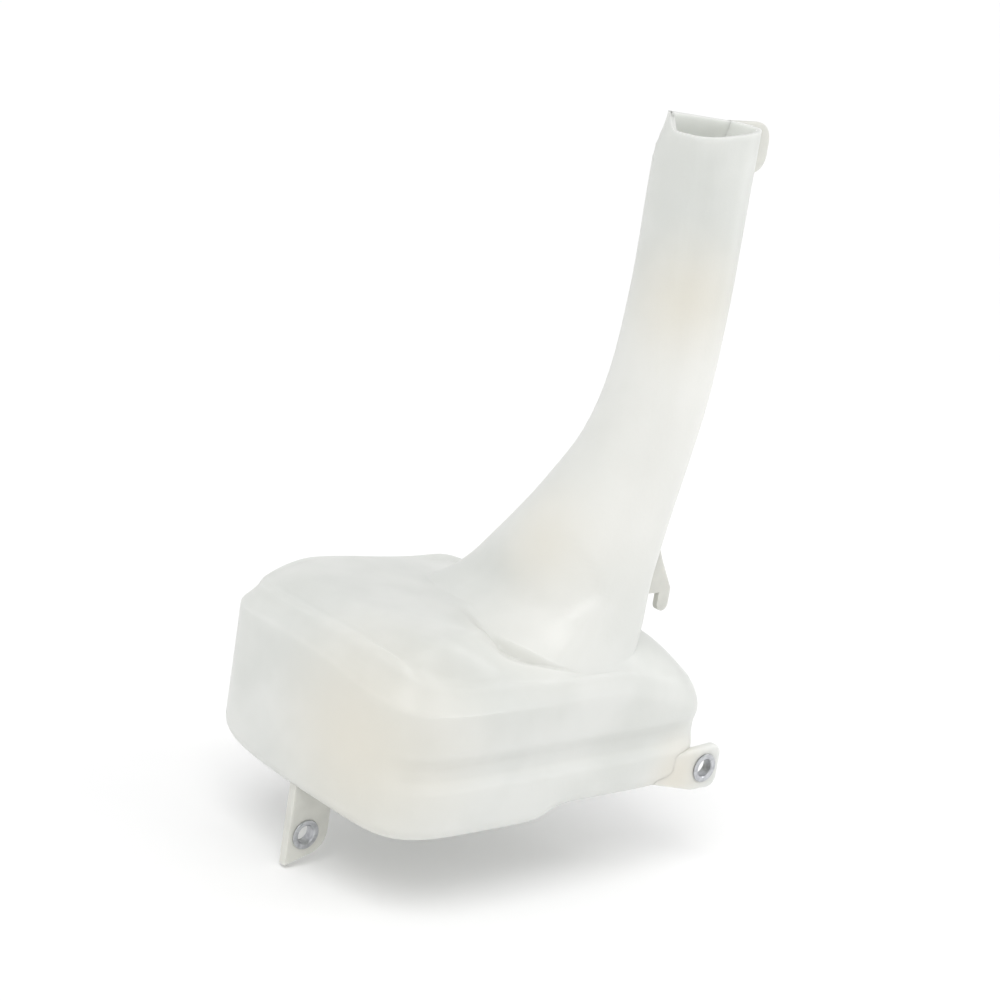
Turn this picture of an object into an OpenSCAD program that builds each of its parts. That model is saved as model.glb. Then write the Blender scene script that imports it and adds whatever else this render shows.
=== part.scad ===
// Washer fluid reservoir: a blow-moulded tank whose filler neck rises from the body and ends in a
// flat-backed mouth, with two ears that carry steel sleeves and a flat ear behind the mouth.
// Millimetres. The body's base is level and the ears' front faces look along -Y. The body is laid out
// from its left, front, lower corner, and the part is handed over with the left sleeve's bore at 0, 0, 0.

/* [Body] */
// Length of the body from its left end to its right end
body_l = 246; // [180:1:320]
// Depth of the body from its front to its back
body_d = 186; // [130:1:230]
// Height of the body's top edge at the left end
edge_h = 104; // [80:1:130]
// Height of the crease where the left end starts to slope in
crease_h = 88; // [65:1:110]
// How much lower the top edge is at the right end
right_drop = 34; // [10:1:45]
// Rise of the top above its edge
crown = 8; // [0:0.5:14]
// How much lower the top edge is at the front
front_drop = 15; // [0:0.5:20]
// How much higher the top edge is at the back
back_rise = 6; // [0:0.5:12]
// Fall of the top along the body, behind the neck
top_fall = 18; // [0:1:24]
// Distance that the top edge stands in from the wall below it
edge_in = 10; // [5:0.5:16]
// The same distance at the front, below the neck
front_in = 5; // [2:0.5:8]
// Depth of the shallow groove between the crease and the top edge
edge_groove = 1.6; // [0:0.1:3]
// Radius of the base's edge
base_r = 11; // [8:0.5:16]
// Radius of the base's edge at the back
back_r = 19; // [10:0.5:20]
// Height of the step in the base
base_step = 8; // [0:0.5:14]
// Distance from the left end to the step in the base
step_x = 118; // [80:1:150]
// Length of the slope between the two levels of the base
step_run = 24; // [12:1:40]
// Height of the long groove in the front
groove_z = 41.5; // [30:0.5:50]
// Width of the long groove in the front
groove_w = 24; // [14:0.5:30]
// Depth of the long groove in the front
groove_depth = 6; // [2:0.5:9]
// Rise of the rounded shoulder at the neck's right
shoulder = 6; // [0:0.5:10]
// Wall of the moulding
wall = 3; // [2:0.1:4]

/* [Neck] */
// Height of the mouth's front lip above the base
mouth_z = 401; // [330:1:480]
// Rise of the mouth's lip from front to back
mouth_rise = 6; // [0:0.5:10]
// Diameter of the filler tube
tube_d = 58; // [48:0.5:70]
// Distance of the tube's axis from the body's left end
tube_x = 191; // [150:1:220]
// Distance of the tube's axis from the body's front
tube_y = 41; // [30:0.5:50]
// How far behind the tube's axis the mouth's flat back lies
flat_back = 8; // [4:0.5:20]
// Length of the tube over which its back turns flat
flat_run = 36; // [24:1:60]
// Distance of the neck's foot from the body's left end
foot_x = 98; // [85:1:120]
// Length of the neck's foot along the body
foot_l = 92; // [70:1:120]
// Depth of the neck's foot from front to back
foot_d = 133; // [100:1:150]
// Distance of the neck's foot from the body's front
foot_y = 6; // [4:0.5:12]
// Height of the lip round the neck's foot
foot_z = 98; // [90:0.5:115]
// How much higher that lip is at its right end
foot_rise = 13; // [0:0.5:16]
// Depth of the valley between the body's top and the neck's foot
valley_depth = 7; // [0:0.5:12]
// Depth of the shallow recess in the neck's left flank
recess_depth = 4; // [0:0.5:6]

/* [Ears] */
// Thickness of the left and right ears
ear_t = 6; // [5:0.5:9]
// Width of the left ear
left_ear_w = 28.5; // [26:0.5:40]
// Distance from the base down to the left ear's tip
left_ear_drop = 47; // [44:1:64]
// Distance from the body's left end to the left ear's outer edge, to the left
left_ear_out = -3; // [-6:0.5:4]
// Distance from the body's front to the middle of the left ear
left_ear_y = 96; // [70:1:110]
// Distance from the left ear's outer edge to its sleeve's axis
left_hole_in = 12; // [11:0.5:15]
// Distance from the base down to the left sleeve's axis
left_hole_drop = 29; // [24:0.5:36]
// Radius of the left ear's round lower corner
left_ear_r = 14; // [8:0.5:18]
// Distance from the body's right end in to the right sleeve's axis
right_hole_in = 3.5; // [-16:0.5:10]
// Height of the right sleeve's axis above the base
right_hole_z = 17; // [12:0.5:20]
// Height of the right ear
right_ear_h = 28; // [24:0.5:36]
// Distance from the right sleeve's axis to the ear's outer edge
right_ear_end = 13; // [11:0.5:18]
// Radius of the right ear's corners
right_ear_r = 7; // [4:0.5:10]
// Distance from the body's front to the right ear's front face
right_ear_y = 2; // [1:0.5:6]

/* [Sleeves] */
// Outer diameter of the steel sleeves
sleeve_od = 15; // [13:0.1:17]
// Bore of the steel sleeves
sleeve_id = 11; // [8:0.1:12]
// Outer diameter of each sleeve's flange
flange_d = 18; // [16:0.1:20]
// Thickness of each sleeve's flange
flange_t = 1; // [0.6:0.1:1.5]
// Radial clearance between a sleeve and its ear
sleeve_gap = 0.1; // [0.05:0.05:0.3]

/* [Mouth ear and clip] */
// Thickness of the flat ear behind the mouth
top_ear_t = 4; // [3:0.5:6]
// How far the flat ear stands out past the tube
top_ear_out = 27; // [18:0.5:34]
// Height of the flat ear
top_ear_h = 32; // [24:1:40]
// Diameter of the flat ear's hole
top_hole_d = 7; // [5:0.1:9]
// Distance from the flat ear's outer edge to its hole's axis
top_hole_in = 11; // [8:0.5:14]
// Distance from the mouth's front lip down to that hole's axis
top_hole_drop = 12; // [9:0.5:20]
// Length of the hose clip's finger, below its web
clip_drop = 15; // [8:0.5:20]
// Thickness of the hose clip
clip_t = 4; // [3:0.5:6]
// Width of the hose clip's finger
clip_w = 7; // [5:0.5:10]
// Gap for the hose between the clip's finger and the neck
clip_gap = 17; // [10:0.5:20]

/* [Pump port] */
// Diameter of the port for the pump's grommet, low in the back
port_d = 22; // [18:0.5:26]
// Distance from the body's left end to the port's axis
port_x = 60; // [40:1:90]
// Height of the port's axis above the base
port_z = 42; // [36:1:50]
// Width of the flat pad round the port
port_pad_w = 6; // [4:0.5:9]
// Height of that pad
port_pad_t = 1.5; // [0.5:0.1:3]

/* [Hidden] */

// points round each section, and rings along the tank
around = 48;
overrun = 1;

function mix(a, b, s) = a + (b - a) * s;
function clamp(v) = min(1, max(0, v));
function ease(v) = let (c = clamp(v)) c * c * (3 - 2 * c);
function lift(v, p) = sign(v) * pow(abs(v), p);

// a rounded section: 2 makes an ellipse, a larger share squares its corners
function unit(j, square_share) =
    let (a = -90 + 360 * j / around,
         q = pow(2 / square_share, 0.4),
         d = [lift(cos(a), q), lift(sin(a), q)])
    d / pow(pow(abs(d.x), square_share) + pow(abs(d.y), square_share), 1 / square_share);
function section(j, x0, x1, y0, y1, square_share) =
    let (u = unit(j, square_share))
    [(x0 + x1) / 2 + u.x * (x1 - x0) / 2, (y0 + y1) / 2 + u.y * (y1 - y0) / 2];

body_square_share = 7;
tube_r = tube_d / 2;

// heights of the base, the crease and the top edge along the body
function base_z(x) = base_step * ease((x - step_x + step_run / 2) / step_run);
function drop(x) =
    let (from = foot_x + 0.6 * foot_l) right_drop * ease((x - from) / (body_l - from));
function top_z(p) =
    edge_h + crown - drop(p.x)
    - top_fall * clamp((p.x - body_l / 3) / (foot_x + foot_l - body_l / 3)) * p.y / body_d;

// how much a point of a section faces the front, the left and the back
function front_share(j) = pow(max(0, -unit(j, body_square_share).y), 6);
function left_share(j) = ease(-1.4 * unit(j, 2).x);
function back_share(j) = ease(1.2 * unit(j, 2).y);
function right_share(j) = ease(1.2 * unit(j, 2).x);
function top_share(j) = ease(0.6 - 1.2 * unit(j, 2).x + 0.8 * unit(j, 2).y);

// rings of the body, from the middle of the base up to the top edge
base_shares = [0.04, 0.4, 0.75];
function base_ring(share) = [for (j = [0:around - 1])
    let (c = [body_l / 2, body_d / 2],
         p = section(j, back_r, body_l - back_r, back_r, body_d - back_r, body_square_share),
         q = c + (p - c) * share)
    [q.x, q.y, base_z(share < 0.1 ? c.x : q.x)]];

function corner_ring(a) = [for (j = [0:around - 1])
    let (r = mix(base_r, back_r, back_share(j)),
         in = r * (1 - sin(a)),
         p = section(j, in, body_l - in, in, body_d - in, body_square_share))
    [p.x, p.y, base_z(p.x) + r * (1 - cos(a))]];

// the wall: heights in shares of the groove's width, above and below its middle
groove_shares = [[-0.5, 0], [-0.2, 0.8], [0, 1], [0.2, 0.8], [0.5, 0]];
function wall_ring(z_share, in_share) = [for (j = [0:around - 1])
    let (p = section(j, 0, body_l, 0, body_d, body_square_share))
    [p.x, p.y + groove_depth * in_share * front_share(j), groove_z + groove_w * z_share]];

// the crease, the groove above it and the top edge, in shares of the way from crease to edge
edge_shares = [[-0.35, 0], [0, 0.02], [0.3, 0.3], [0.6, 0.62], [0.85, 0.82], [1, 1.1]];
function edge_point(j, up_share, in_share) =
    let (in = edge_in * in_share,
         p = section(j, in, body_l - in, in * front_in / edge_in, body_d - in, body_square_share),
         fall = drop(p.x) + front_drop * front_share(j),
         rise = back_rise * back_share(j) * ease(2 * (p.x - edge_in) / foot_x)
             * ease((foot_x + foot_l / 2 - p.x) / foot_l),
         lower = crease_h - fall * 0.85,
         upper = edge_h - fall + rise)
    [p.x, p.y, mix(lower, upper, up_share)
        - (up_share > 0.2 && up_share < 0.8 ? edge_groove : 0) * (1 - front_share(j))];
function edge_ring(up_share, in_share) = [for (j = [0:around - 1]) edge_point(j, up_share, in_share)];

// the neck: each row is [height, left side, right side, front, back, squareness], as shares of the
// way from the foot to the tube, and the rings between two rows follow a smooth curve
neck_shares = [
    [0.000, 0.00, 0.00, 0.00, 0.00, 3.2],
    [0.020, 0.15, 0.06, 0.25, 0.05, 3.0],
    [0.055, 0.30, 0.17, 0.60, 0.12, 2.8],
    [0.120, 0.41, 0.34, 0.90, 0.29, 2.6],
    [0.190, 0.55, 0.50, 1.00, 0.46, 2.5],
    [0.265, 0.71, 0.63, 1.00, 0.62, 2.4],
    [0.370, 0.88, 0.78, 1.00, 0.81, 2.2],
    [0.500, 0.97, 0.93, 1.00, 0.94, 2.1],
    [0.680, 1.00, 1.00, 1.00, 1.00, 2.0],
    [0.860, 1.00, 1.00, 1.00, 1.00, 2.0],
    [1.000, 1.00, 1.00, 1.00, 1.00, 2.0]];
neck_steps = 2;
neck_rings = (len(neck_shares) - 1) * neck_steps + 1;
function neck_row(k) =
    let (last = len(neck_shares) - 1,
         i = min(last - 1, floor(k / neck_steps)),
         t = k / neck_steps - i,
         a = neck_shares[max(0, i - 1)], b = neck_shares[i],
         c = neck_shares[i + 1], d = neck_shares[min(last, i + 2)])
    (2 * b + (c - a) * t + (2 * a - 5 * b + 4 * c - d) * t * t
        + (3 * b - 3 * c + d - a) * t * t * t) / 2;

// the flat back behind the mouth comes in over the last stretch of the tube
function back_limit(z) = z < mouth_z - flat_run ? body_d
    : tube_y + mix(tube_r, flat_back, ease((z - mouth_z + flat_run) / flat_run));

// the shallow recess in the left flank: a rounded triangle, in shares of the neck's height and depth
function recess(p, h, j) =
    let (d = (p.y - foot_y) / foot_d)
    recess_depth * left_share(j) * ease((h - 0.03) / 0.06) * ease((0.32 - h) / 0.16)
    * ease((d - 0.02 - 2.4 * max(0, h - 0.15)) / 0.2) * ease((0.72 - d) / 0.3);

function neck_ring(row) = [for (j = [0:around - 1])
    let (p = section(j,
             mix(foot_x, tube_x - tube_r, row[1]), mix(foot_x + foot_l, tube_x + tube_r, row[2]),
             mix(foot_y, tube_y - tube_r, row[3]), mix(foot_y + foot_d, tube_y + tube_r, row[4]),
             row[5]),
         z = mix(foot_z + foot_rise * ease((p.x - foot_x) / foot_l), mouth_z, row[0]),
         y = min(p.y, back_limit(z)),
         back = (y - tube_y + tube_r) / (flat_back + tube_r))
    [p.x + recess(p, row[0], j), y,
     z + mouth_rise * clamp(back) * ease((z - mouth_z + flat_run) / flat_run)]];

// the top between its edge and the neck's foot
top_shares = [0.14, 0.30, 0.48, 0.66, 0.80, 0.90, 0.94, 0.97];
function valley(s, j) =
    valley_depth * ease(-2 * unit(j, 2).x - 0.7) * ease((s - 0.5) / 0.35) * ease((1 - s) / 0.06);
function top_ring(s) = [for (j = [0:around - 1])
    let (a = edge_point(j, 1, 1.1),
         b = neck_ring(neck_shares[0])[j],
         p = mix(a, b, s),
         wide = clamp(2 * norm([b.x - a.x, b.y - a.y]) / foot_x))
    [p.x, p.y, mix(p.z, top_z(p), wide * top_share(j) * ease(4 * s) * ease(5 * (1 - s)))
        + shoulder * right_share(j) * sin(180 * s) - valley(s, j)]];

function outer() = concat(
    [for (s = base_shares) base_ring(s)],
    [for (a = [0:22.5:90]) corner_ring(a)],
    [for (g = groove_shares) wall_ring(g[0], g[1])],
    [for (e = edge_shares) edge_ring(e[0], e[1])],
    [for (s = top_shares) top_ring(s)],
    [for (k = [0:neck_rings - 1]) neck_ring(neck_row(k))]);

skin = outer();
rings = len(skin);

// the inner skin lies one wall inside the outer, along the surface's own direction
function at(k, j) = skin[min(rings - 1, max(0, k))][(j + around) % around];
function inward(k, j) =
    let (c = cross(at(k, j + 1) - at(k, j - 1), at(k + 1, j) - at(k - 1, j)),
         n = k == rings - 1 ? [c.x, c.y, 0] : k == 0 ? [0, 0, -1] : c)
    n / norm(n);
liner = [for (k = [0:rings - 1]) [for (j = [0:around - 1]) at(k, j) - wall * inward(k, j)]];

function flat(list) = [for (r = list) for (p = r) p];
function side_faces(first, turned) = [for (k = [0:rings - 2]) for (j = [0:around - 1])
    let (a = first + k * around + j, b = first + k * around + (j + 1) % around,
         c = b + around, d = a + around)
    each turned ? [[a, b, c], [a, c, d]] : [[a, c, b], [a, d, c]]];

module shell() {
    inner = rings * around;
    top = inner - around;
    polyhedron(
        points = concat(flat(skin), flat(liner)),
        faces = concat(
            side_faces(0, false),
            side_faces(inner, true),
            [[for (j = [0:around - 1]) j]],
            [[for (j = [around - 1:-1:0]) inner + j]],
            [for (j = [0:around - 1])
                let (n = (j + 1) % around)
                each [[top + j, inner + top + n, top + n], [top + j, inner + top + j, inner + top + n]]]),
        convexity = 10);
}

// sleeves: a tube with a thin flange on the front, seated in its ear's bore
bore_r = sleeve_od / 2 + sleeve_gap;
module along_y() {
    rotate([90, 0, 0]) children();
}
module sleeve() {
    along_y() difference() {
        union() {
            translate([0, 0, -ear_t]) cylinder(h = ear_t, r = sleeve_od / 2, $fn = 64);
            cylinder(h = flange_t, r = flange_d / 2, $fn = 64);
        }
        translate([0, 0, -ear_t - overrun])
            cylinder(h = ear_t + flange_t + 2 * overrun, r = sleeve_id / 2, $fn = 64);
    }
}
module ear_bore() {
    along_y() translate([0, 0, -ear_t - overrun])
        cylinder(h = ear_t + 2 * overrun, r = bore_r, $fn = 64);
}

// left ear: a plate hanging below the base, sharp at its outer corner, round at its inner
left_hole = [left_hole_in - left_ear_out, left_ear_y - ear_t / 2, -left_hole_drop];
module left_ear() {
    right = left_ear_w - left_ear_out;
    low = left_ear_r * 1.3 - left_ear_drop;
    translate([0, left_ear_y + ear_t / 2, 0]) along_y() linear_extrude(height = ear_t)
        union() {
            polygon([[-left_ear_out, -left_ear_drop], [right - left_ear_r, low - left_ear_r],
                [right, low], [right, wall / 2], [-left_ear_out + base_r / 2, wall / 2],
                [-left_ear_out, base_r / 2]]);
            translate([right - left_ear_r, low]) circle(r = left_ear_r, $fn = 64);
        }
}

// right ear: an arm that runs on from the band below the groove
right_hole = [body_l - right_hole_in, right_ear_y, right_hole_z];
module right_ear() {
    low = right_hole_z - right_ear_h / 2;
    end = right_hole.x + right_ear_end;
    root = body_l - 4 * base_r;
    intersection() {
        translate([0, right_ear_y + ear_t, 0]) along_y()
            linear_extrude(height = right_ear_y + ear_t + overrun) union() {
                polygon([[root, low + base_step], [body_l - base_r, low], [end - right_ear_r, low],
                    [end - right_ear_r, low + right_ear_h], [root, low + right_ear_h - wall]]);
                translate([end - 2 * right_ear_r, low + right_ear_r])
                    square([2 * right_ear_r, right_ear_h - 2 * right_ear_r]);
                for (z = [low + right_ear_r, low + right_ear_h - right_ear_r])
                    translate([end - right_ear_r, z]) circle(r = right_ear_r, $fn = 64);
            }
        translate([0, 0, low - overrun]) linear_extrude(height = right_ear_h + 2 * overrun)
            polygon([[root, wall / 2], [body_l - base_r, right_ear_y], [end, right_ear_y],
                [end, right_ear_y + ear_t], [body_l - base_r, right_ear_y + ear_t]]);
    }
}

// hose clip: a web out of the neck's right side with a finger that points down
clip_foot = skin[rings - neck_rings + 2 * neck_steps][around * 0.19];
clip_head = skin[rings - neck_rings + 3 * neck_steps][around * 0.19];
module hose_clip() {
    inner = clip_foot.x + clip_gap;
    outer = inner + clip_w;
    translate([0, (clip_foot.y + clip_head.y + clip_t) / 2, 0]) along_y()
        linear_extrude(height = clip_t) union() {
            polygon([[clip_foot.x - wall / 2, clip_foot.z], [inner, clip_foot.z],
                [inner, clip_foot.z - clip_drop + clip_w / 2], [outer, clip_foot.z - clip_drop + clip_w / 2],
                [outer, clip_foot.z], [clip_head.x + clip_w, clip_head.z - clip_w / 2],
                [clip_head.x, clip_head.z], [clip_head.x - wall / 2, clip_head.z]]);
            translate([inner + clip_w / 2, clip_foot.z - clip_drop + clip_w / 2])
                circle(r = clip_w / 2, $fn = 48);
        }
}

// flat ear behind the mouth, with its plain hole
top_ear_y = tube_y + flat_back;
top_hole = [tube_x + tube_r + top_ear_out - top_hole_in, top_ear_y, mouth_z - top_hole_drop];
module top_ear() {
    end = tube_x + tube_r + top_ear_out;
    top = mouth_z + mouth_rise;
    translate([0, top_ear_y + top_ear_t - wall / 2, 0]) along_y() linear_extrude(height = top_ear_t)
        difference() {
            union() {
                translate([tube_x - tube_r + wall, top - top_ear_h / 2])
                    square([tube_d - wall, top_ear_h / 2]);
                translate([tube_x, top - top_ear_h])
                    square([end - tube_x - top_hole_in, top_ear_h]);
                translate([end - top_hole_in, top - top_hole_in]) circle(r = top_hole_in, $fn = 64);
                translate([end - top_hole_in, top - top_ear_h + top_hole_in])
                    circle(r = top_hole_in, $fn = 64);
                translate([end - top_hole_in, top - top_ear_h + top_hole_in])
                    square([top_hole_in, top_ear_h - 2 * top_hole_in]);
            }
            translate([top_hole.x, top_hole.z]) circle(r = top_hole_d / 2, $fn = 64);
        }
}

// pump port: a round pad on the back with the grommet's hole
module port_pad() {
    translate([port_x, body_d + port_pad_t, port_z]) along_y()
        cylinder(h = port_pad_t + wall / 2, r = port_d / 2 + port_pad_w, $fn = 64);
}

// the finished pieces, with the left sleeve's axis at the origin
module tank() {
    color([0.90, 0.91, 0.87]) translate(-left_hole) difference() {
        union() {
            shell();
            left_ear();
            right_ear();
            top_ear();
            hose_clip();
            port_pad();
        }
        translate(left_hole) ear_bore();
        translate(right_hole) ear_bore();
        translate([port_x, body_d + port_pad_t + overrun, port_z]) along_y()
            cylinder(h = port_pad_t + 2 * wall + 2 * overrun, r = port_d / 2, $fn = 64);
    }
}
module sleeve_left() {
    color([0.62, 0.63, 0.65]) sleeve();
}
module sleeve_right() {
    color([0.62, 0.63, 0.65]) translate(right_hole - left_hole) sleeve();
}

tank();
sleeve_left();
sleeve_right();
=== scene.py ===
"""Looks of a blow-moulded washer fluid tank: natural polyethylene, zinc-plated sleeves, soft studio."""
import math

import bmesh
import bpy
from mathutils import Matrix, Vector


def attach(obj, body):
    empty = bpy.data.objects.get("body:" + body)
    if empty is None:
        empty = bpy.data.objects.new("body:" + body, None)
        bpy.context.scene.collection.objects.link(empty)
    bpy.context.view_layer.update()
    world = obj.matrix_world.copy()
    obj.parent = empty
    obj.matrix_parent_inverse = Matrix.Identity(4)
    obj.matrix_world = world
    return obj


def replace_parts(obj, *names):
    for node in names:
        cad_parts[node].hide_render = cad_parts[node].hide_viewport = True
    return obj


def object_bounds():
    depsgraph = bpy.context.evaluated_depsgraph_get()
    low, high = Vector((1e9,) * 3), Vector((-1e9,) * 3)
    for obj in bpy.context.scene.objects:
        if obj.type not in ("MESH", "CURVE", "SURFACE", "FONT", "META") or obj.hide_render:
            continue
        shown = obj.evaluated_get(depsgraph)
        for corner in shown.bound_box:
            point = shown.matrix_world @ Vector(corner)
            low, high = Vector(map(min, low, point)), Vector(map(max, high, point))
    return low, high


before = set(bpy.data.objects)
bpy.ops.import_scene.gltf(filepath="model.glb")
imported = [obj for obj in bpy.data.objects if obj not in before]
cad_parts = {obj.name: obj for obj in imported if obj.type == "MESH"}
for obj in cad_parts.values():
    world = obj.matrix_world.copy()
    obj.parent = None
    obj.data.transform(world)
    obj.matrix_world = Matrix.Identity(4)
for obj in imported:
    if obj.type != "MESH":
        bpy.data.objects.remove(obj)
cad_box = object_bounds()

MM = 0.001

# Sizes in millimetres, laid out from the body's left, front, lower corner as in the part's source.
ORIGIN = Vector((15.0, 93.0, -29.0))

# body: its size, its top edge and crease, how they fall to the right and the front, and its base
BODY_L, BODY_D, BODY_SQUARE = 246.0, 186.0, 7.0
EDGE_H, CREASE_H = 104.0, 88.0
RIGHT_DROP, FRONT_DROP, BACK_RISE = 31.5, 15.0, 6.0
RIGHT_ROUND, CREASE_FALL = 6.0, 7.0
EDGE_IN, FRONT_IN, FRONT_LEAN, EDGE_GROOVE = 10.0, 5.0, 8.0, 0.7
CROWN, TOP_FALL, SHOULDER = 8.0, 18.0, 4.0
BASE_R, BACK_R = 11.0, 19.0
BASE_STEP, STEP_X, STEP_RUN = 8.0, 118.0, 24.0
GROOVE_Z, GROOVE_W, GROOVE_DEPTH = 41.5, 24.0, 4.0
WALL, SKIN_IN = 3.0, 0.02

# neck: its foot, its tube, the flat at the back of the mouth and the fall of the lip
FOOT_X, FOOT_L, FOOT_Y, FOOT_D = 98.0, 92.0, 4.5, 134.5
FOOT_Z, FOOT_RISE, FOOT_FALL = 101.0, 4.0, 11.0
TUBE_R, TUBE_X, TUBE_Y = 26.0, 189.5, 39.5
FLAT_BACK, FLAT_RUN = 9.5, 36.0
MOUTH_Z, MOUTH_RISE = 401.0, 6.0
LIP_LEFT, LIP_RIGHT, LIP_BACK_RIGHT, LIP_CORNER = -4.0, 2.5, 2.0, 1.5
VALLEY_DEPTH, RECESS_DEPTH = 7.0, 4.0

# ears, clip and port
LEFT_HOLE = Vector((15.0, 93.0, -29.0))
RIGHT_HOLE = Vector((242.5, 2.0, 17.0))
TOP_HOLE = Vector((236.0, 49.5, 389.0))
EAR_T, EAR_R, EAR_BORE_R, TOP_BORE_R = 6.0, 14.0, 7.6, 3.5
LEFT_EAR_X, LEFT_EAR_END, LEFT_EAR_Z = 3.0, 31.5, -46.98
RIGHT_EAR_OUT, RIGHT_EAR_R, RIGHT_EAR_ROUND = 12.98, 7.0, 1.8
TOP_EAR_OUT, TOP_EAR_LOW, TOP_EAR_R, TOP_EAR_T = 13.5, 16.0, 11.0, 4.0
CLIP_Y, CLIP_T, CLIP_GAP, CLIP_W, CLIP_HANG = 35.0, 4.0, 19.5, 9.0, 12.0
THIN_ROUND = 0.7
PORT = Vector((60.0, 186.0, 42.0))
PORT_R, PORT_PAD_R, PORT_PAD_T, PORT_PAD_EDGE = 11.0, 17.0, 1.49, 0.9
PORT_FINE_R, PORT_REACH, PORT_RIM_R, PORT_DEPTH = (26.0, 22.0), 21.0, 16.0, 2.0

# sleeves
SLEEVE_IN_R, SLEEVE_OUT_R, FLANGE_R, FLANGE_T, SLEEVE_CHAMFER = 5.5, 7.5, 9.0, 1.0, 0.3

# how the forms run into each other: gains on a turn, shares of a length, and powers
SPREAD = 0.3
SIDE_GAIN, LEFT_GAIN, UNDER_NECK_GAIN = 1.2, 1.4, 1.5
FRONT_POWER = 6
DROP_START, FRONT_DROP_LEFT, CREASE_SHARE = 0.6, 0.8, 0.8
NECK_FLUSH = 0.3
CREASE_FALL_FROM, CREASE_FALL_RUN = 0.55, 0.45
LEAN_FROM, LEAN_RUN = 1.1, 0.6
EDGE_GROOVE_FROM, EDGE_GROOVE_RUN = 0.05, 0.8
WALL_TOP, GROOVE_FLANK = 0.54, 0.42
EDGE_ROUND = 1.1
BLEND_TO_ROUND, JOINED_H, JOINED_FROM, JOINED_RUN, JOINED_TO = 0.4, 0.09, 0.5, 0.65, 0.6
RECESS_TOP_H, RECESS_RIM, RECESS_GAIN = 0.35, 10.0, 1.6
RECESS_BACK, RECESS_BACK_RUN, RECESS_TOP, RECESS_TOP_RUN = 100.0, 45.0, 172.0, 42.0
VALLEY_GAIN, VALLEY_FROM, VALLEY_SIDE, VALLEY_SIDE_RUN = 1.3, 0.2, 0.15, 0.6
VALLEY_START, VALLEY_RUN, VALLEY_END = 0.5, 0.35, 0.06

# how finely the skin is laid out
AROUND = 168
BASE_SHARES = (0.0, 0.25, 0.5, 0.75, 0.9)
CORNER_STEPS, WALL_STEPS, EDGE_FINE, NECK_FINE = 10, 14, 3, 8
TANK_WELD = 2e-6
LIP_ROUND, LIP_ANGLE = 0.7, 55.0


# ---------- small helpers for curves ----------

def mix(a, b, s):
    return a + (b - a) * s


def clamp(v):
    return min(1.0, max(0.0, v))


def ease(v):
    c = clamp(v)
    return c * c * (3.0 - 2.0 * c)


def lift(v, power):
    return math.copysign(abs(v) ** power, v)


def onto(x, y, square):
    """The same direction on a circle, or on a squarer round where square is over 2."""
    size = (abs(x) ** square + abs(y) ** square) ** (1.0 / square)
    return x / size, y / size


def unit(turn, square):
    a = 2.0 * math.pi * turn - math.pi / 2.0
    q = (2.0 / square) ** SPREAD
    return onto(lift(math.cos(a), q), lift(math.sin(a), q), square)


def smooth_rows(rows, steps):
    """Rows of numbers on a smooth curve through the given rows."""
    out = []
    last = len(rows) - 1
    for k in range(last * steps + 1):
        i = min(last - 1, k // steps)
        t = k / steps - i
        a, b = rows[max(0, i - 1)], rows[i]
        c, d = rows[i + 1], rows[min(last, i + 2)]
        out.append([
            0.5 * (2 * q + (r - p) * t + (2 * p - 5 * q + 4 * r - s) * t * t
                   + (3 * q - 3 * r + s - p) * t ** 3)
            for p, q, r, s in zip(a, b, c, d)])
    return out


def place(x, y, z):
    """A point of the body's layout, in metres, in the part's own frame."""
    return (Vector((x, y, z)) - ORIGIN) * MM


# ---------- the tank's outer skin, ring by ring ----------

def section(turn, inset, front_inset=None):
    """A point of the body's outline, set in from its walls, at a turn from 0 to 1 that starts in front."""
    u = unit(turn, BODY_SQUARE)
    y0 = inset if front_inset is None else front_inset
    return (BODY_L / 2 + u[0] * (BODY_L / 2 - inset),
            mix(y0, BODY_D - inset, (1 + u[1]) / 2))


def front_share(turn):
    return max(0.0, -unit(turn, BODY_SQUARE)[1]) ** FRONT_POWER


def base_z(x):
    return BASE_STEP * ease((x - STEP_X + STEP_RUN / 2) / STEP_RUN)


def drop(x):
    """How far the top's edge has fallen towards the right end."""
    start = FOOT_X + DROP_START * FOOT_L
    return RIGHT_DROP * ease((x - start) / (BODY_L - start))


def base_point(turn, share):
    x, y = section(turn, BACK_R)
    x, y = mix(BODY_L / 2, x, share), mix(BODY_D / 2, y, share)
    return x, y, base_z(x)


def corner_point(turn, angle):
    r = mix(BASE_R, BACK_R, ease(SIDE_GAIN * unit(turn, 2.0)[1]))
    x, y = section(turn, max(SKIN_IN, r * (1 - math.sin(angle))))
    return x, y, base_z(x) + r * (1 - math.cos(angle))


def wall_point(turn, z_share):
    x, y = section(turn, SKIN_IN)
    dip = ease((0.5 - abs(z_share)) / GROOVE_FLANK)
    return x, y + GROOVE_DEPTH * dip * front_share(turn), GROOVE_Z + GROOVE_W * z_share


def right_share(turn):
    return ease(SIDE_GAIN * unit(turn, 2.0)[0])


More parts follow.
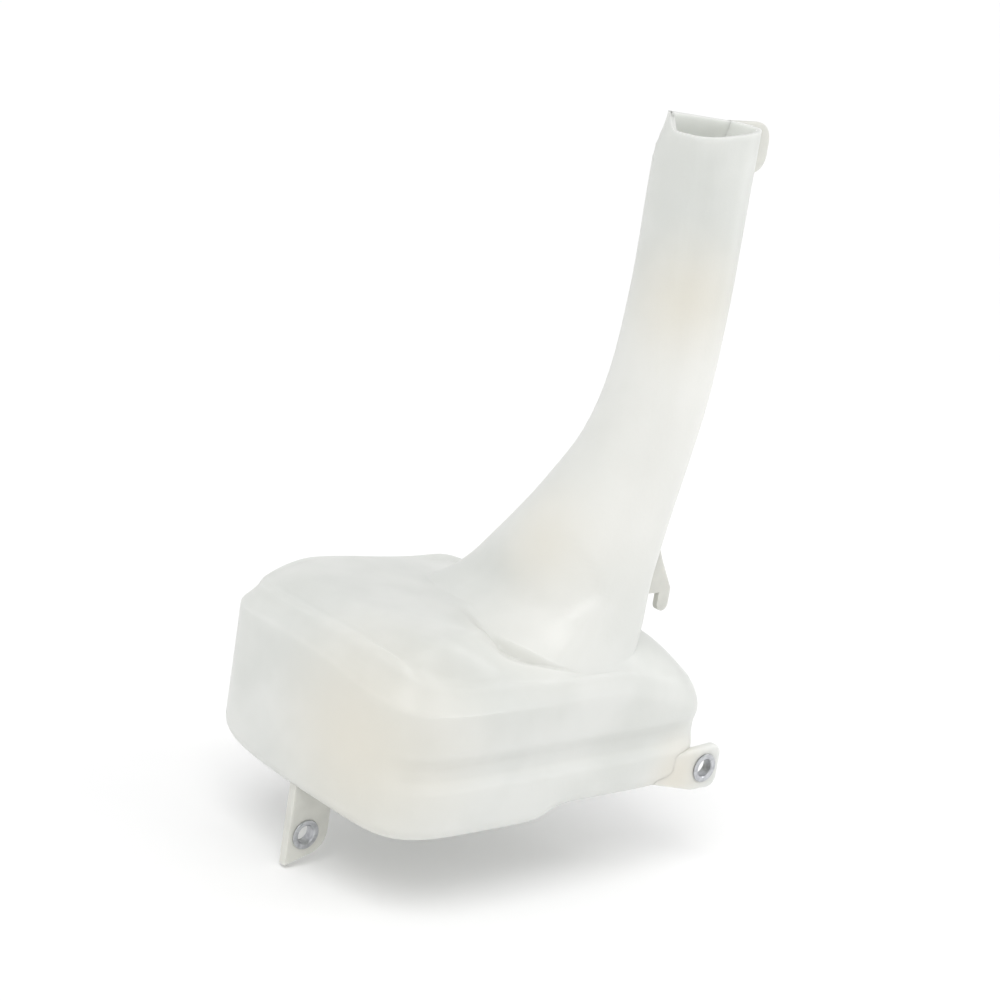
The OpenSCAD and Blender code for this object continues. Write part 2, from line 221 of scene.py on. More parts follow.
def edge_point(turn, up, inward, at_right):
    """The crease, the shallow groove above it and the top edge; rounder at the right end."""
    wall_x, _ = section(turn, SKIN_IN)
    under_neck = ease(UNDER_NECK_GAIN * (wall_x - FOOT_X) / FOOT_L)
    share = max(SKIN_IN / FRONT_IN, mix(inward, at_right, right_share(turn)))
    x, y = section(turn, EDGE_IN * share, FRONT_IN * share * (1 - NECK_FLUSH * under_neck))
    front = front_share(turn)
    round_x, round_y = unit(turn, 2.0)
    fall = drop(x) + FRONT_DROP * front * (1 - FRONT_DROP_LEFT * drop(x) / RIGHT_DROP)
    rise = (BACK_RISE * ease(SIDE_GAIN * round_y) * ease(2 * (x - EDGE_IN) / FOOT_X)
            * ease((FOOT_X + FOOT_L / 2 - x) / FOOT_L))
    at_left = ease(-LEFT_GAIN * round_x) * (1 - front)
    lower = (CREASE_H - fall * CREASE_SHARE - RIGHT_ROUND * right_share(turn)
             - CREASE_FALL * at_left * ease((CREASE_FALL_FROM * BODY_D - y) / (CREASE_FALL_RUN * BODY_D)))
    upper = EDGE_H - fall + rise
    y += FRONT_LEAN * max(0.0, up) * front * ease((LEAN_FROM * FOOT_X - x) / (LEAN_RUN * FOOT_X))
    dip = (EDGE_GROOVE * math.sin(math.pi * clamp((up - EDGE_GROOVE_FROM) / EDGE_GROOVE_RUN)) * (1 - front)
           * (1 - right_share(turn)))
    return x, y, max(mix(lower, upper, up), GROOVE_Z + GROOVE_W * WALL_TOP) - dip


def top_edge(turn):
    return edge_point(turn, 1.0, EDGE_ROUND, EDGE_ROUND)


NECK_ROWS = [
    # height, left, right, front, back: shares of the way from the foot to the tube; then squareness
    [0.000, 0.00, 0.00, 0.00, 0.00, 3.2],
    [0.020, 0.15, 0.06, 0.12, 0.05, 3.0],
    [0.055, 0.30, 0.17, 0.35, 0.12, 2.8],
    [0.120, 0.41, 0.34, 0.75, 0.29, 2.6],
    [0.190, 0.55, 0.50, 0.95, 0.46, 2.5],
    [0.265, 0.69, 0.63, 1.00, 0.62, 2.4],
    [0.370, 0.86, 0.80, 1.00, 0.81, 2.4],
    [0.500, 0.96, 0.95, 1.00, 0.94, 2.7],
    [0.680, 1.00, 1.00, 1.00, 1.00, 3.0],
    [0.860, 1.00, 1.00, 1.00, 1.00, 3.0],
    [1.000, 1.00, 1.00, 1.00, 1.00, 3.0]]


def back_limit(z):
    """How far back the neck may reach: the mouth has a flat back."""
    if z < MOUTH_Z - FLAT_RUN:
        return BODY_D
    return TUBE_Y + mix(TUBE_R, FLAT_BACK, ease((z - MOUTH_Z + FLAT_RUN) / FLAT_RUN))


def ray(turn):
    """The direction from the middle of the neck's foot to the top's edge."""
    x, y, _ = top_edge(turn)
    dx = (2 * (x - FOOT_X) - FOOT_L) / FOOT_L
    dy = (2 * (y - FOOT_Y) - FOOT_D) / FOOT_D
    size = math.hypot(dx, dy)
    return dx / size, dy / size


# the hollow's outline on the neck's left flank, as depth and height
RECESS_EDGE = [(103, 117), (81, 107), (48, 109), (30, 113), (18, 119), (10, 127), (9, 136), (18, 152),
               (34, 165), (55, 173), (80, 170), (105, 140)]


def recess(y, z, way_x):
    """Depth of the shallow hollow in the neck's left flank: crisp below and at the front, soft
    behind and above."""
    inside, near = False, BODY_L
    for k, (ay, az) in enumerate(RECESS_EDGE):
        by, bz = RECESS_EDGE[(k + 1) % len(RECESS_EDGE)]
        if (az > z) != (bz > z) and y < ay + (z - az) * (by - ay) / (bz - az):
            inside = not inside
        run = (by - ay) ** 2 + (bz - az) ** 2
        t = clamp(((y - ay) * (by - ay) + (z - az) * (bz - az)) / run)
        near = min(near, math.hypot(y - ay - t * (by - ay), z - az - t * (bz - az)))
    if not inside:
        return 0.0
    fading = ease((RECESS_BACK - y) / RECESS_BACK_RUN) * ease((RECESS_TOP - z) / RECESS_TOP_RUN)
    return RECESS_DEPTH * ease(near / RECESS_RIM) * ease(-RECESS_GAIN * way_x) * fading


def neck_point(turn, row):
    """The neck at one row's height: its foot blends into the top, its tube is round to square."""
    h, left, right, front, back, square = row
    way, flat = ray(turn), unit(turn, 2.0)
    blend = ease(h / BLEND_TO_ROUND)
    ux, uy = onto(mix(way[0], flat[0], blend), mix(way[1], flat[1], blend), square)
    x = mix(mix(FOOT_X, TUBE_X - TUBE_R, left), mix(FOOT_X + FOOT_L, TUBE_X + TUBE_R, right), (1 + ux) / 2)
    y = mix(mix(FOOT_Y, TUBE_Y - TUBE_R, front), mix(FOOT_Y + FOOT_D, TUBE_Y + TUBE_R, back), (1 + uy) / 2)
    foot = FOOT_Z + FOOT_RISE * ease((x - FOOT_X) / FOOT_L) - FOOT_FALL * max(0.0, -uy) ** FRONT_POWER
    joined = ease((uy + JOINED_FROM) / JOINED_RUN) * ease(JOINED_TO - ux) * (1 - ease(h / JOINED_H))
    z = mix(foot, MOUTH_Z, h) + max(0.0, top_z(x, y) - foot) * joined
    hollow = recess(y, z, mix(way[0], flat[0], blend)) if h < RECESS_TOP_H else 0.0
    y = min(y, back_limit(z))
    across = (1 + ux) / 2
    lip = mix(mix(LIP_LEFT, LIP_RIGHT, across), mix(MOUTH_RISE, LIP_BACK_RIGHT, across),
              ease((y - TUBE_Y - LIP_CORNER) / (FLAT_BACK - LIP_CORNER)))
    return x + hollow, y, z + lip * ease((z - MOUTH_Z + FLAT_RUN) / FLAT_RUN)


def top_z(x, y):
    fall = TOP_FALL * clamp((x - BODY_L / 3) / (FOOT_X + FOOT_L - BODY_L / 3)) * y / BODY_D
    return EDGE_H + CROWN - drop(x) - fall


def top_point(turn, s):
    """The top between its edge, s = 0, and the neck's foot, s = 1."""
    a = Vector(top_edge(turn))
    b = Vector(neck_point(turn, NECK_ROWS[0]))
    p = a.lerp(b, s)
    round_x, round_y = unit(turn, 2.0)
    way = ray(turn)
    span = (b - a).to_2d().length
    wide = clamp(2 * span / FOOT_X)
    top_share = ease(0.6 - 1.2 * round_x + 0.8 * round_y)
    falling = ease(mix(5.0, 2.0, ease((way[1] + 0.1) / 0.5)) * (1 - s))
    z = mix(p.z, top_z(p.x, p.y), wide * top_share * ease(4 * s) * falling)
    z += min(SHOULDER, span / 3) * ease(SIDE_GAIN * round_x) * math.sin(math.pi * s)
    at_front_left = ease(-VALLEY_GAIN * way[0] - VALLEY_FROM) * ease((VALLEY_SIDE - way[1]) / VALLEY_SIDE_RUN)
    z -= (min(VALLEY_DEPTH, span / 3) * at_front_left
          * ease((s - VALLEY_START) / VALLEY_RUN) * ease((1 - s) / VALLEY_END))
    return p.x, p.y, z


EDGE_ROWS = [
    # height, set in, set in at the right end: shares of the way from the crease to the edge
    [-1.6, 0.0, 0.0], [-0.9, 0.0, 0.0], [-0.35, 0.0, 0.0], [0.0, 0.02, 0.05], [0.3, 0.3, 0.22],
    [0.6, 0.62, 0.5], [0.85, 0.82, 0.85], [1.0, EDGE_ROUND, EDGE_ROUND]]
# where the rings of the top lie, as shares of the way from its edge to the neck
TOP_STEPS = [0.03, 0.06, 0.10, 0.14, 0.19, 0.24, 0.30, 0.36, 0.42, 0.48, 0.54, 0.60, 0.66, 0.71,
             0.76, 0.80, 0.84, 0.87, 0.90, 0.92, 0.94, 0.955, 0.97, 0.985]


def skin_rings():
    """One function of the turn, 0 to 1, for each ring from the base's middle to the mouth's lip."""
    corners = [math.radians(90 / CORNER_STEPS * k) for k in range(CORNER_STEPS + 1)]
    walls = [k / WALL_STEPS - 0.5 for k in range(WALL_STEPS + 1)]
    rings = [lambda t, s=s: base_point(t, s) for s in BASE_SHARES]
    rings += [lambda t, a=a: corner_point(t, a) for a in corners]
    rings += [lambda t, g=g: wall_point(t, g) for g in walls]
    rings += [lambda t, e=e: edge_point(t, *e) for e in smooth_rows(EDGE_ROWS, EDGE_FINE)]
    rings += [lambda t, s=s: top_point(t, s) for s in TOP_STEPS]
    rings += [lambda t, r=r: neck_point(t, r) for r in smooth_rows(NECK_ROWS, NECK_FINE)]
    return rings


def finish_mesh(bm, name, material, crease=32.0, weld=1e-6):
    """Merges, turns outwards, marks the sharp edges and links the piece."""
    bmesh.ops.remove_doubles(bm, verts=bm.verts, dist=weld)
    bmesh.ops.recalc_face_normals(bm, faces=bm.faces)
    for face in bm.faces:
        face.smooth = True
    for edge in bm.edges:
        if edge.is_manifold and edge.calc_face_angle(0.0) > math.radians(crease):
            edge.smooth = False
    mesh = bpy.data.meshes.new(name)
    bm.to_mesh(mesh)
    bm.free()
    piece = bpy.data.objects.new(name, mesh)
    bpy.context.scene.collection.objects.link(piece)
    mesh.materials.append(material)
    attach(piece, "root")
    return piece


def open_port(bm):
    """Cuts the round hole for the pump's grommet through the back and raises the flat pad round it."""
    centre = place(*PORT)

    def reach(point):
        return math.hypot(point.x - centre.x, point.z - centre.z) / MM

    def at_back(point):
        return point.y > centre.y - PORT_DEPTH * MM

    def near(face, radius):
        at = face.calc_center_median()
        return at_back(at) and reach(at) < radius

    for radius in PORT_FINE_R:
        edges = list({e for f in bm.faces if near(f, radius) for e in f.edges})
        bmesh.ops.subdivide_edges(bm, edges=edges, cuts=1, use_grid_fill=True)
    for vert in bm.verts:
        if at_back(vert.co) and reach(vert.co) < PORT_REACH:
            within = (PORT_PAD_R + PORT_PAD_EDGE - reach(vert.co)) / (2 * PORT_PAD_EDGE)
            vert.co.y += PORT_PAD_T * MM * ease(within)
    bmesh.ops.delete(bm, geom=[f for f in bm.faces if near(f, PORT_R)], context="FACES")
    for vert in bm.verts:
        if vert.is_boundary and at_back(vert.co) and reach(vert.co) < PORT_RIM_R:
            out = Vector((vert.co.x - centre.x, 0.0, vert.co.z - centre.z)).normalized() * PORT_R * MM
            vert.co = Vector((centre.x + out.x, centre.y + PORT_PAD_T * MM, centre.z + out.z))


def blow_tank(material, inner):
    """The one blown skin: body, flared neck and flat-backed mouth, with its wall."""
    rings = skin_rings()
    last = len(rings) - 1
    bm = bmesh.new()
    bmesh.ops.create_grid(bm, x_segments=AROUND, y_segments=last, size=1.0)
    for vert in bm.verts:
        turn = (vert.co.x + 1.0) / 2.0
        k = round((vert.co.y + 1.0) / 2.0 * last)
        vert.co = place(*rings[k](turn % 1.0))
    bmesh.ops.remove_doubles(bm, verts=bm.verts, dist=TANK_WELD)
    open_port(bm)
    piece = finish_mesh(bm, "blown_tank", material)
    wall = piece.modifiers.new("wall", "SOLIDIFY")
    wall.thickness = WALL * MM
    wall.offset = -1.0
    wall.use_even_offset = False
    wall.use_rim = True
    piece.data.materials.append(inner)
    wall.material_offset = 1
    lips = piece.modifiers.new("lips", "BEVEL")
    lips.width = LIP_ROUND * MM
    lips.segments = 3
    lips.limit_method = "ANGLE"
    lips.angle_limit = math.radians(LIP_ANGLE)
    return piece


# ---------- ears, clip and sleeves ----------

def arc(cx, cz, r, start, end, steps=10):
    """Points of an arc in the plane of the ears, with angles in degrees."""
    return [(cx + r * math.cos(math.radians(mix(start, end, k / steps))),
             cz + r * math.sin(math.radians(mix(start, end, k / steps)))) for k in range(steps + 1)]


def plate(name, outline, y_front, y_back, material, hole=None, edge_r=0.8):
    """A flat ear: its outline filled, pulled to its thickness, drilled and rounded."""
    bm = bmesh.new()
    verts = [bm.verts.new(place(x, y_front, z)) for x, z in outline]
    loops = [bm.edges.new((verts[i - 1], verts[i])) for i in range(len(verts))]
    if hole:
        cx, cz, r = hole
        ring = bmesh.ops.create_circle(bm, segments=48, radius=r * MM,
                                       matrix=Matrix.Translation(place(cx, y_front, cz))
                                       @ Matrix.Rotation(math.pi / 2, 4, "X"))
        loops += list({e for v in ring["verts"] for e in v.link_edges})
    bmesh.ops.triangle_fill(bm, use_beauty=True, use_dissolve=False, edges=loops)
    flat = list(bm.faces)
    grown = bmesh.ops.extrude_face_region(bm, geom=flat)
    moved = [g for g in grown["geom"] if isinstance(g, bmesh.types.BMVert)]
    bmesh.ops.translate(bm, verts=moved, vec=(0.0, (y_back - y_front) * MM, 0.0))
    bmesh.ops.recalc_face_normals(bm, faces=bm.faces)
    rims = [e for e in bm.edges if e.is_manifold and e.calc_face_angle(0.0) > math.radians(60)
            and abs(e.verts[0].co.y - e.verts[1].co.y) < 1e-6]
    bmesh.ops.bevel(bm, geom=rims, offset=edge_r * MM, offset_type="OFFSET", segments=3,
                    profile=0.5, affect="EDGES", clamp_overlap=True, material=-1)
    return finish_mesh(bm, name, material, crease=40.0)


def sleeve(name, hole, material):
    """A flanged steel sleeve, turned from its section."""
    inner, outer, flange, thick, c = SLEEVE_IN_R, SLEEVE_OUT_R, FLANGE_R, FLANGE_T, SLEEVE_CHAMFER
    section_points = [
        (inner + 2 * c, -thick), (flange - c, -thick), (flange, -thick + c), (flange, -c / 2),
        (flange - c / 2, 0.0), (outer, 0.0), (outer, EAR_T - c), (outer - c, EAR_T), (inner + c, EAR_T),
        (inner, EAR_T - c), (inner, -thick + 2 * c)]
    bm = bmesh.new()
    verts = [bm.verts.new(place(hole.x + r, hole.y + y, hole.z)) for r, y in section_points]
    edges = [bm.edges.new((verts[i - 1], verts[i])) for i in range(len(verts))]
    bmesh.ops.spin(bm, geom=verts + edges, cent=place(*hole), axis=(0.0, 1.0, 0.0), dvec=(0.0, 0.0, 0.0),
                   angle=2 * math.pi, steps=96, use_merge=True, use_duplicate=False)
    return finish_mesh(bm, name, material, crease=25.0)


def neck_side(y, row):
    """Where the neck's right side is at a depth y, and how high, for one row."""
    h, left, right, front, back, square = row
    x0, x1 = mix(FOOT_X, TUBE_X - TUBE_R, left), mix(FOOT_X + FOOT_L, TUBE_X + TUBE_R, right)
    y0, y1 = mix(FOOT_Y, TUBE_Y - TUBE_R, front), mix(FOOT_Y + FOOT_D, TUBE_Y + TUBE_R, back)
    v = abs(2 * y - y0 - y1) / (y1 - y0)
    return mix(x0, x1, (1 + (1 - v ** square) ** (1 / square)) / 2), mix(FOOT_Z + FOOT_RISE, MOUTH_Z, h)


def left_ear(material):
    """The ear that hangs under the left end."""
    low, end = LEFT_EAR_Z + 1.3 * EAR_R, LEFT_EAR_END
    hanging = [(LEFT_EAR_X, BASE_R / 2), (LEFT_EAR_X, LEFT_EAR_Z)]
    hanging += arc(end - EAR_R, low, EAR_R, -75, 0, 16)
    hanging += [(end, WALL / 2), (LEFT_EAR_X + BASE_R / 2, WALL / 2)]
    plate("left_ear", hanging, LEFT_HOLE.y, LEFT_HOLE.y + EAR_T, material,
          (LEFT_HOLE.x, LEFT_HOLE.z, EAR_BORE_R))


def right_ear(material):
    """The ear that runs on from the front's lower band past the right end."""
    low, top, end, r = RIGHT_HOLE.z - EAR_R, RIGHT_HOLE.z + EAR_R, RIGHT_HOLE.x + RIGHT_EAR_OUT, RIGHT_EAR_R
    root = BODY_L - 4 * BASE_R
    arm = [(root, low + BASE_STEP), (BODY_L - BASE_R, low)]
    arm += arc(end - r, low + r, r, -90, 0) + arc(end - r, top - r, r, 0, 90)
    arm += [(root, top - WALL)]
    plate("right_ear", arm, RIGHT_HOLE.y, RIGHT_HOLE.y + EAR_T, material,
          (RIGHT_HOLE.x, RIGHT_HOLE.z, EAR_BORE_R), RIGHT_EAR_ROUND)


def mouth_ear(material):
    """The flat ear beside the mouth, from inside the tube's right wall."""
    end, top, r, low = TOP_HOLE.x + TOP_EAR_OUT, MOUTH_Z + LIP_BACK_RIGHT, TOP_EAR_R, TOP_HOLE.z - TOP_EAR_LOW
    side = TUBE_X + TUBE_R - 0.7 * WALL
    flat = [(side, low)] + arc(end - r, low + r, r, -90, 0) + arc(end - r, top - r, r, 0, 90) + [(side, top)]
    plate("mouth_ear", flat, TOP_HOLE.y - TOP_EAR_T / 2, TOP_HOLE.y + TOP_EAR_T / 2, material,
          (TOP_HOLE.x, TOP_HOLE.z, TOP_BORE_R), THIN_ROUND)


def hose_clip(material):
    """The hook on the neck's right side, that a washer hose is pressed into."""
    rows = smooth_rows(NECK_ROWS, 2)
    middle = CLIP_Y + CLIP_T / 2
    (lx, lz), (hx, hz) = neck_side(middle, rows[4]), neck_side(middle, rows[8])
    inner = lx + CLIP_GAP
    tip = lz - CLIP_HANG + CLIP_W / 2
    hook = [(lx - WALL / 2, lz), (inner, lz)]
    hook += arc(inner + CLIP_W / 2, tip, CLIP_W / 2, 180, 360, 12)
    hook += [(inner + CLIP_W, lz + CLIP_W / 4), (inner + CLIP_W - 1.3 * CLIP_W, hz - 2 * CLIP_W), (hx, hz),
             (hx - WALL / 2, hz)]
    plate("hose_clip", hook, CLIP_Y, CLIP_Y + CLIP_T, material, None, THIN_ROUND)


# ---------- materials ----------

def socket_group(name, inputs, outputs):
    group = bpy.data.node_groups.new(name, "ShaderNodeTree")
    for label, kind, value in inputs:
        made = group.interface.new_socket(name=label, in_out="INPUT", socket_type=kind)
        if value is not None:
            made.default_value = value
    for label, kind in outputs:
        group.interface.new_socket(name=label, in_out="OUTPUT", socket_type=kind)
    return group, group.nodes.new("NodeGroupInput"), group.nodes.new("NodeGroupOutput")


def make_mottle():
    """Soft uneven patches: the cloudiness of a blown wall, or the bloom of a zinc coat."""
    group, given, out = socket_group(
        "soft_mottle",
        [("Vector", "NodeSocketVector", None), ("Scale", "NodeSocketFloat", 10.0),
         ("Low", "NodeSocketFloat", 0.4), ("High", "NodeSocketFloat", 0.6)],
        [("Mask", "NodeSocketFloat")])
    noise = group.nodes.new("ShaderNodeTexNoise")
    noise.inputs["Detail"].default_value = 3.0
    noise.inputs["Roughness"].default_value = 0.55
    spread = group.nodes.new("ShaderNodeMapRange")
    spread.interpolation_type = "SMOOTHSTEP"
    link = group.links.new
    link(given.outputs["Vector"], noise.inputs["Vector"])
    link(given.outputs["Scale"], noise.inputs["Scale"])
    link(noise.outputs["Fac"], spread.inputs["Value"])
    link(given.outputs["Low"], spread.inputs["From Min"])
    link(given.outputs["High"], spread.inputs["From Max"])
    link(spread.outputs["Result"], out.inputs["Mask"])
    return group


def make_patch():
    """A round soft patch about a place: 1 in its middle, 0 past its radius."""
    group, given, out = socket_group(
        "soft_patch",
        [("Vector", "NodeSocketVector", None), ("Centre", "NodeSocketVector", None),
         ("Radius", "NodeSocketFloat", 0.05)],
        [("Mask", "NodeSocketFloat")])
    far = group.nodes.new("ShaderNodeVectorMath")
    far.operation = "DISTANCE"
    spread = group.nodes.new("ShaderNodeMapRange")
    spread.interpolation_type = "SMOOTHSTEP"
    spread.inputs["From Min"].default_value = 0.0
    spread.inputs["To Min"].default_value = 1.0
    spread.inputs["To Max"].default_value = 0.0
    link = group.links.new
    link(given.outputs["Vector"], far.inputs[0])
    link(given.outputs["Centre"], far.inputs[1])
    link(far.outputs["Value"], spread.inputs["Value"])
    link(given.outputs["Radius"], spread.inputs["From Max"])
    link(spread.outputs["Result"], out.inputs["Mask"])
    return group


def start_material(name):
    material = bpy.data.materials.new(name)
    material.use_nodes = True
    tree = material.node_tree
    tree.nodes.clear()
    out = tree.nodes.new("ShaderNodeOutputMaterial")
    shader = tree.nodes.new("ShaderNodeBsdfPrincipled")
    tree.links.new(shader.outputs["BSDF"], out.inputs["Surface"])
    place_in = tree.nodes.new("ShaderNodeTexCoord")
    return material, tree, shader, place_in.outputs["Object"]


def use_group(tree, group, where, **values):
    node = tree.nodes.new("ShaderNodeGroup")
    node.node_tree = group
    tree.links.new(where, node.inputs["Vector"])
    for label, value in values.items():
        node.inputs[label].default_value = value
    return node.outputs["Mask"]


def tint(tree, mask, below, above, strength=1.0):
    """The colour below, taken towards the colour above where the mask says."""
    blend = tree.nodes.new("ShaderNodeMix")
    blend.data_type = "RGBA"
    if strength != 1.0:
        part = tree.nodes.new("ShaderNodeMath")
        part.operation = "MULTIPLY"
        part.inputs[1].default_value = strength
        tree.links.new(mask, part.inputs[0])
        mask = part.outputs[0]
    tree.links.new(mask, blend.inputs["Factor"])
    for socket, colour in (("A", below), ("B", above)):
        if isinstance(colour, tuple):
            blend.inputs[6 if socket == "A" else 7].default_value = (*colour, 1.0)
        else:
            tree.links.new(colour, blend.inputs[6 if socket == "A" else 7])
    return blend.outputs[2]


def span_value(tree, mask, low, high):
    node = tree.nodes.new("ShaderNodeMapRange")
    node.inputs["To Min"].default_value = low
    node.inputs["To Max"].default_value = high
    tree.links.new(mask, node.inputs["Value"])
    return node.outputs["Result"]


def bump(tree, shader, height, distance, strength, below=None):
    node = tree.nodes.new("ShaderNodeBump")
    node.inputs["Distance"].default_value = distance
    node.inputs["Strength"].default_value = strength
    tree.links.new(height, node.inputs["Height"])
    if below:
        tree.links.new(below, node.inputs["Normal"])
    tree.links.new(node.outputs["Normal"], shader.inputs["Normal"])
    return node.outputs["Normal"]


# tints, as linear red, green and blue
COOL, MILKY = (0.630, 0.642, 0.617), (0.690, 0.698, 0.675)
# the second tint on the next line is painted light: the thin neck shown lighter where light comes through its
# walls
CREAM, NECK_PAINTED_LIGHT = (0.700, 0.668, 0.585), (0.800, 0.795, 0.760)
# pressed tints: a little yellow, and darker as painted shade for the thick ears and clip, which get less
# light
PRESSED_SHADED_LOW, PRESSED_SHADED_HIGH = (0.60, 0.60, 0.56), (0.66, 0.66, 0.615)
ZINC_DARK, ZINC_LIGHT = (0.42, 0.43, 0.45), (0.58, 0.59, 0.61)
FLOOR_DARK, FLOOR_LIGHT = (0.93, 0.93, 0.93), (0.95, 0.95, 0.95)

# yellowed places of the blown wall, and places of painted light where the thin neck shows lighter with light
# coming through its walls: where, and their radius
CREAM_PLACES = [((4, 45, 50), 90), ((170, 10, 300), 60), ((128, 52, 155), 50), ((218, 4, 16), 36)]
PAINTED_LIGHT_PLACES = [((150, 20, 180), 95), ((185, 20, 250), 70), ((110, 30, 110), 60)]
CREAM_STRENGTH, PAINTED_LIGHT_STRENGTH = 0.75, 0.7

# patterns: how many to the metre, and how deep they are in metres
CLOUD_SCALE, PRESSED_CLOUD_SCALE, BLOOM_SCALE = 14.0, 40.0, 260.0
WAVE_SCALE, WAVE_DEPTH = 26.0, 0.0006
GRAIN_SCALE, GRAIN_DEPTH = 420.0, 0.00005
ZINC_GRAIN_SCALE, ZINC_GRAIN_DEPTH = 900.0, 0.00004
# painted light: the inner skin's emission strength, standing in for light that comes through the wall
INNER_PAINTED_GLOW = 0.19


def see_through(shader, weight, reach):
    """Light goes a little way into the plastic, the same for every colour."""
    shader.inputs["Subsurface Weight"].default_value = weight
    shader.inputs["Subsurface Radius"].default_value = (1.0, 1.0, 1.0)
    shader.inputs["Subsurface Scale"].default_value = reach


def blown_polyethylene(mottle, patch, name="natural_polyethylene", glow=0.0):
    """Natural, slightly see-through polyethylene: cool white with warmer, yellowed places, and painted light
    on the thin neck, lighter where light comes through its walls.
    The inner skin also carries a little painted glow: an emission that stands in for the light that comes
    through the wall."""
    material, tree, shader, where = start_material(name)
    cloud = use_group(tree, mottle, where, Scale=CLOUD_SCALE, Low=0.35, High=0.65)
    colour = tint(tree, cloud, COOL, MILKY)
    for spot, radius in CREAM_PLACES:
        mask = use_group(tree, patch, where, Centre=place(*spot), Radius=radius * MM)
        colour = tint(tree, mask, colour, CREAM, CREAM_STRENGTH)
    # painted light: lighter patches on the neck where light comes through its thin walls
    for spot, radius in PAINTED_LIGHT_PLACES:
        mask = use_group(tree, patch, where, Centre=place(*spot), Radius=radius * MM)
        colour = tint(tree, mask, colour, NECK_PAINTED_LIGHT, PAINTED_LIGHT_STRENGTH)
    tree.links.new(colour, shader.inputs["Base Color"])
    # painted glow: the wall's colour also emits, at the given strength, in place of light through the wall
    tree.links.new(colour, shader.inputs["Emission Color"])
    shader.inputs["Emission Strength"].default_value = glow
    grain = use_group(tree, mottle, where, Scale=GRAIN_SCALE, Low=0.3, High=0.7)
    tree.links.new(span_value(tree, cloud, 0.36, 0.46), shader.inputs["Roughness"])
    waves = use_group(tree, mottle, where, Scale=WAVE_SCALE, Low=0.2, High=0.8)
    soft = bump(tree, shader, waves, WAVE_DEPTH, 0.35)
    bump(tree, shader, grain, GRAIN_DEPTH, 0.25, soft)
    see_through(shader, 0.7, 0.006)
    shader.inputs["IOR"].default_value = 1.5
    return material


def shaded_pressed_polyethylene(mottle):
    """The same plastic where the mould pressed it solid: denser and a little yellow, and darker as painted
    shade, for thick ears and clip that lie in shade and take in less light.
    """
    material, tree, shader, where = start_material("shaded_pressed_polyethylene")
    cloud = use_group(tree, mottle, where, Scale=PRESSED_CLOUD_SCALE, Low=0.35, High=0.65)
    # painted shade: the pressed parts' colour is set darker than the blown wall
    tree.links.new(tint(tree, cloud, PRESSED_SHADED_LOW, PRESSED_SHADED_HIGH), shader.inputs["Base Color"])
    tree.links.new(span_value(tree, cloud, 0.38, 0.5), shader.inputs["Roughness"])
    grain = use_group(tree, mottle, where, Scale=GRAIN_SCALE, Low=0.3, High=0.7)
    bump(tree, shader, grain, GRAIN_DEPTH, 0.3)
    see_through(shader, 0.5, 0.003)
    return material


def zinc_steel(mottle):
    """Zinc-plated steel with a cloudy bloom."""
    material, tree, shader, where = start_material("zinc_steel")
    cloud = use_group(tree, mottle, where, Scale=BLOOM_SCALE, Low=0.35, High=0.65)
    tree.links.new(tint(tree, cloud, ZINC_DARK, ZINC_LIGHT), shader.inputs["Base Color"])
    tree.links.new(span_value(tree, cloud, 0.28, 0.45), shader.inputs["Roughness"])
    shader.inputs["Metallic"].default_value = 1.0
    grain = use_group(tree, mottle, where, Scale=ZINC_GRAIN_SCALE, Low=0.3, High=0.7)
    bump(tree, shader, grain, ZINC_GRAIN_DEPTH, 0.3)
    return material


def white_floor(mottle):
    """A plain pale floor that shows white to the camera and keeps the shadow."""
    material, tree, shader, where = start_material("studio_floor")
    cloud = use_group(tree, mottle, where, Scale=3.0, Low=0.3, High=0.7)
    tree.links.new(tint(tree, cloud, FLOOR_DARK, FLOOR_LIGHT), shader.inputs["Base Color"])
    shader.inputs["Roughness"].default_value = 0.9
    return material


# ---------- studio ----------

# in metres; lamp ways run from the part to the lamp
FLOOR_HALF, FLOOR_GAP = 40.0, 0.002
SKY_LEVEL, BACKDROP_WHITE = 0.82, 1.0
KEY_WAY, KEY_STRENGTH, KEY_SPREAD = (-0.50, -0.32, 0.90), 1.05, 40.0
STRIP_PLACE, STRIP_AIM, STRIP_SIZE, STRIP_POWER = (1.5, -0.8, 0.7), (0.15, 0.0, 0.2), (0.25, 1.4), 5.0
CAMERA_PLACE = Vector((-0.871, -1.052, 0.591))
CAMERA_RIGHT = Vector((0.7507, -0.6428, 0.1527))
CAMERA_UP = Vector((0.0626, 0.2993, 0.9521))
LENS, FILM_W = 91.6, 36.0


def area_lamp(name, spot, aim, size, power):
    data = bpy.data.lights.new(name, "AREA")
    data.shape = "RECTANGLE"
    data.size, data.size_y = size
    data.energy = power
    lamp = bpy.data.objects.new(name, data)
    bpy.context.scene.collection.objects.link(lamp)
    lamp.location = spot
    lamp.rotation_euler = (Vector(aim) - Vector(spot)).to_track_quat("-Z", "Y").to_euler()
    return lamp


def sun_lamp(name, way, strength, spread):
    """A far lamp that shines along the line from the given way to the part."""
    data = bpy.data.lights.new(name, "SUN")
    data.energy = strength
    data.angle = math.radians(spread)
    lamp = bpy.data.objects.new(name, data)
    bpy.context.scene.collection.objects.link(lamp)
    lamp.location = Vector(way) * 3.0
    lamp.rotation_euler = (-Vector(way)).to_track_quat("-Z", "Y").to_euler()
    return lamp


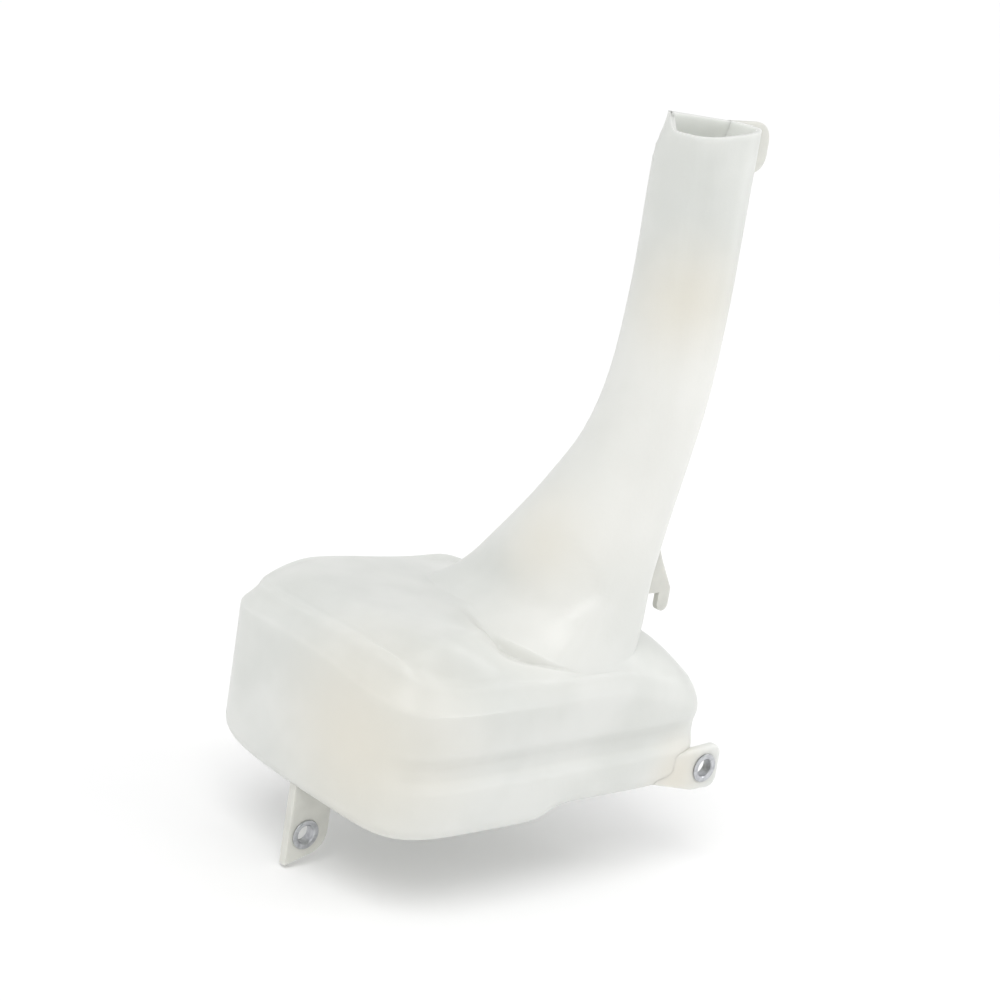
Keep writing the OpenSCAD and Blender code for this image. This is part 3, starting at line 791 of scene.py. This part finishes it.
def studio(mottle):
    """The pale floor, the white backdrop, a soft key from above and a weak strip at the right."""
    bm = bmesh.new()
    bmesh.ops.create_grid(bm, x_segments=8, y_segments=8, size=FLOOR_HALF)
    mesh = bpy.data.meshes.new("floor")
    bm.to_mesh(mesh)
    bm.free()
    floor = bpy.data.objects.new("floor", mesh)
    mesh.transform(Matrix.Translation((0.0, 0.0, cad_box[0][2] - FLOOR_GAP)))
    mesh.materials.append(white_floor(mottle))
    bpy.context.scene.collection.objects.link(floor)

    world = bpy.data.worlds.new("studio_white")
    bpy.context.scene.world = world
    world.use_nodes = True
    tree = world.node_tree
    tree.nodes.clear()
    out = tree.nodes.new("ShaderNodeOutputWorld")
    glow = tree.nodes.new("ShaderNodeBackground")
    seen = tree.nodes.new("ShaderNodeBackground")
    pick = tree.nodes.new("ShaderNodeMixShader")
    path = tree.nodes.new("ShaderNodeLightPath")
    glow.inputs["Color"].default_value = (1.0, 1.0, 1.0, 1.0)
    glow.inputs["Strength"].default_value = SKY_LEVEL
    seen.inputs["Color"].default_value = (1.0, 1.0, 1.0, 1.0)
    seen.inputs["Strength"].default_value = BACKDROP_WHITE
    tree.links.new(path.outputs["Is Camera Ray"], pick.inputs["Fac"])
    tree.links.new(glow.outputs["Background"], pick.inputs[1])
    tree.links.new(seen.outputs["Background"], pick.inputs[2])
    tree.links.new(pick.outputs["Shader"], out.inputs["Surface"])

    sun_lamp("sky_key", KEY_WAY, KEY_STRENGTH, KEY_SPREAD)
    area_lamp("edge_strip", STRIP_PLACE, STRIP_AIM, STRIP_SIZE, STRIP_POWER)


def photo_camera():
    """The photograph's camera: it is turned by about 11 degrees about its own axis."""
    data = bpy.data.cameras.new("photo_camera")
    data.sensor_width = FILM_W
    data.sensor_fit = "HORIZONTAL"
    data.lens = LENS
    data.clip_start = 0.05
    data.clip_end = 50.0
    camera = bpy.data.objects.new("photo_camera", data)
    bpy.context.scene.collection.objects.link(camera)
    back = CAMERA_RIGHT.cross(CAMERA_UP).normalized()
    up = back.cross(CAMERA_RIGHT).normalized()
    right = CAMERA_RIGHT.normalized()
    turn = Matrix((right, up, back)).transposed().to_4x4()
    camera.matrix_world = Matrix.Translation(CAMERA_PLACE) @ turn
    bpy.context.scene.camera = camera


# ---------- making ----------

photo_camera()
mottle = make_mottle()
patch = make_patch()
natural = blown_polyethylene(mottle, patch)
pressed = shaded_pressed_polyethylene(mottle)
steel = zinc_steel(mottle)

tank = blow_tank(natural, blown_polyethylene(mottle, patch, "inner_polyethylene", INNER_PAINTED_GLOW))
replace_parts(tank, "tank")
left_ear(pressed)
right_ear(natural)
mouth_ear(pressed)
hose_clip(pressed)
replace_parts(sleeve("left_sleeve", LEFT_HOLE, steel), "sleeve_left")
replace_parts(sleeve("right_sleeve", RIGHT_HOLE, steel), "sleeve_right")
studio(mottle)

bpy.context.scene.view_settings.view_transform = "Standard"
